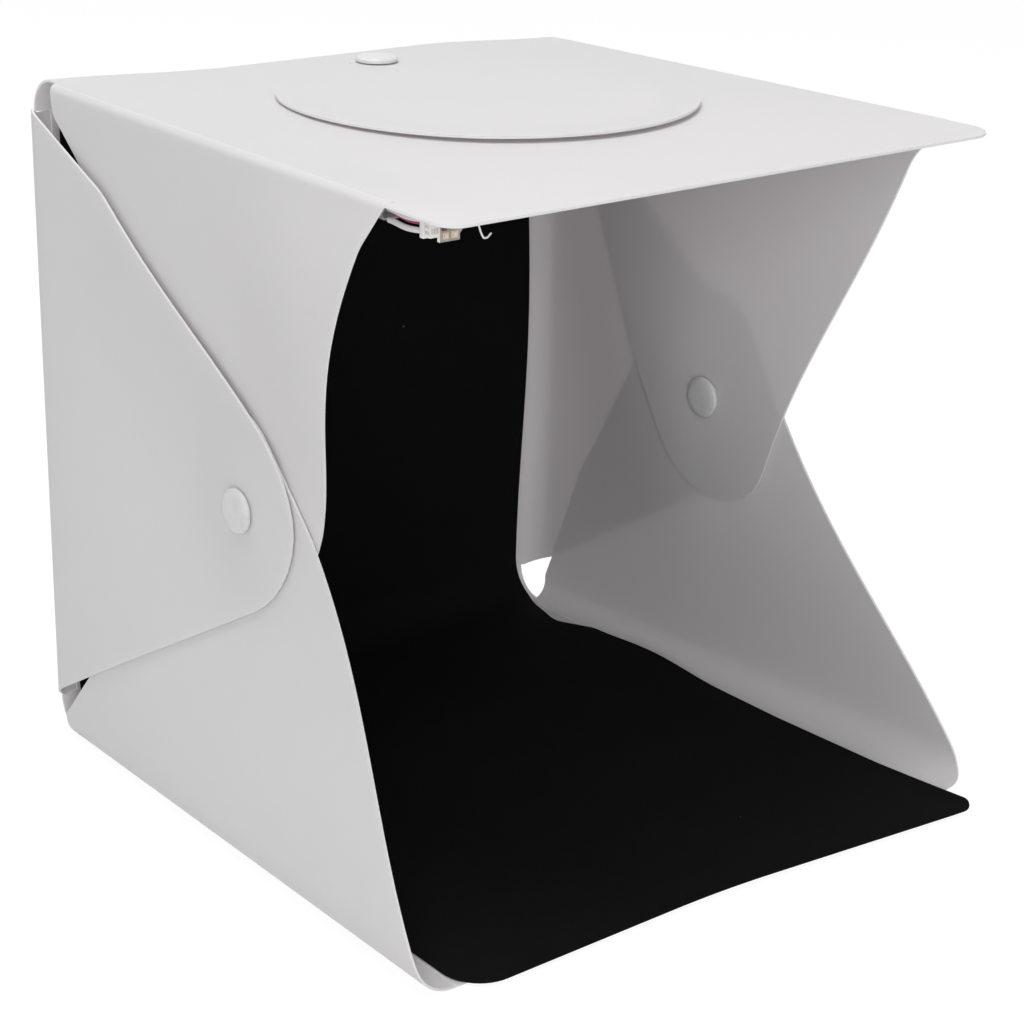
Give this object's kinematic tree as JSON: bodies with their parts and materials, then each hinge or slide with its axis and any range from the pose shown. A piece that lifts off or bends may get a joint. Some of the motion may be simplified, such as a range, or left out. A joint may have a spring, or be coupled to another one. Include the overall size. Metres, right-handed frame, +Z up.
{
  "type": "light tent cube",
  "caption": "Foldable photo light tent: a white plastic sheet box open at the front, snapped at the sides, with a round lidded window in the top, a black curved backdrop and a light strip.",
  "frame": {"origin": "Centre of the bounding box seen from above, at the underside of the base.", "axes": "X runs across the opening, left to right for a viewer at the front. The opening faces -Y. Z is up."},
  "size_m": [0.2384, 0.243, 0.2396],
  "materials": {
    "white_sheet": "fine matte translucent white sheet",
    "lid_sheet": "fine matte translucent white sheet",
    "snap_plastic": "moulded, semi-gloss",
    "backdrop_sheet": "flat black with a very fine tooth",
    "pad_fabric": "hook-and-loop pile",
    "clear_sleeve": "milky clear",
    "light_strip": "white lacquer",
    "white_lead": "smooth insulation",
    "red_lead": "smooth insulation",
    "plug_plastic": "moulded",
    "board": "lacquered board with bare pads"
  },
  "bodies": {
    "shell": {"base_panel": "white_sheet", "bottom_spine": "white_sheet", "back_panel": "white_sheet", "top_spine": "white_sheet", "top_panel": "white_sheet", "lid_socket": "snap_plastic", "backdrop": "backdrop_sheet", "backdrop_pad_left": "pad_fabric", "backdrop_pad_right": "pad_fabric", "led_sleeve": "clear_sleeve", "led_strip": "light_strip", "lead_white_upper": "white_lead", "lead_red": "red_lead", "lead_white_lower": "white_lead", "lead_plug": "plug_plastic", "control_board": "board", "lead_tail": "white_lead"},
    "lid": {"window_lid": "lid_sheet", "lid_cap": "snap_plastic"},
    "left back flap": {"back_flap_left": "white_sheet", "outer_cap_left": "snap_plastic", "socket_left": "snap_plastic"},
    "right back flap": {"back_flap_right": "white_sheet", "outer_cap_right": "snap_plastic", "socket_right": "snap_plastic"},
    "left base flap": {"base_flap_left": "white_sheet"},
    "right base flap": {"base_flap_right": "white_sheet"},
    "left top flap": {"top_flap_left": "white_sheet", "inner_cap_left": "snap_plastic", "stud_left": "snap_plastic"},
    "right top flap": {"top_flap_right": "white_sheet", "inner_cap_right": "snap_plastic", "stud_right": "snap_plastic"}
  },
  "joints": [
    {"name": "lid_swivel", "type": "hinge", "parent": "shell", "child": "lid", "pos_m": [0.00804, 0.08648, 0.2372], "axis": [0, 0, 1], "range_deg": [-180, 0]},
    {"name": "left_back_flap_fold", "type": "hinge", "parent": "shell", "child": "left back flap", "pos_m": [-0.1022, 0.1211, 0.118], "axis": [0, 0, -1], "range_deg": [0, 90]},
    {"name": "right_back_flap_fold", "type": "hinge", "parent": "shell", "child": "right back flap", "pos_m": [0.1022, 0.1211, 0.118], "axis": [0, 0, 1], "range_deg": [0, 90]},
    {"name": "left_top_flap_fold", "type": "hinge", "parent": "shell", "child": "left top flap", "pos_m": [-0.1087, 0.0065, 0.2356], "axis": [0, -1, 0], "range_deg": [0, 45]},
    {"name": "right_top_flap_fold", "type": "hinge", "parent": "shell", "child": "right top flap", "pos_m": [0.1087, 0.0065, 0.2356], "axis": [0, 1, 0], "range_deg": [0, 80]},
    {"name": "left_base_flap_fold", "type": "hinge", "parent": "shell", "child": "left base flap", "pos_m": [-0.1044, 0.0065, 0.0004], "axis": [0, 1, 0], "range_deg": [0, 20.6]},
    {"name": "right_base_flap_fold", "type": "hinge", "parent": "shell", "child": "right base flap", "pos_m": [0.1044, 0.0065, 0.0004], "axis": [0, -1, 0], "range_deg": [0, 36.5]}
  ],
  "couplings": [
    {"joint": "left_base_flap_fold", "follows": "left_top_flap_fold", "ratio": 0.45},
    {"joint": "right_base_flap_fold", "follows": "right_top_flap_fold", "ratio": 0.45}
  ]
}
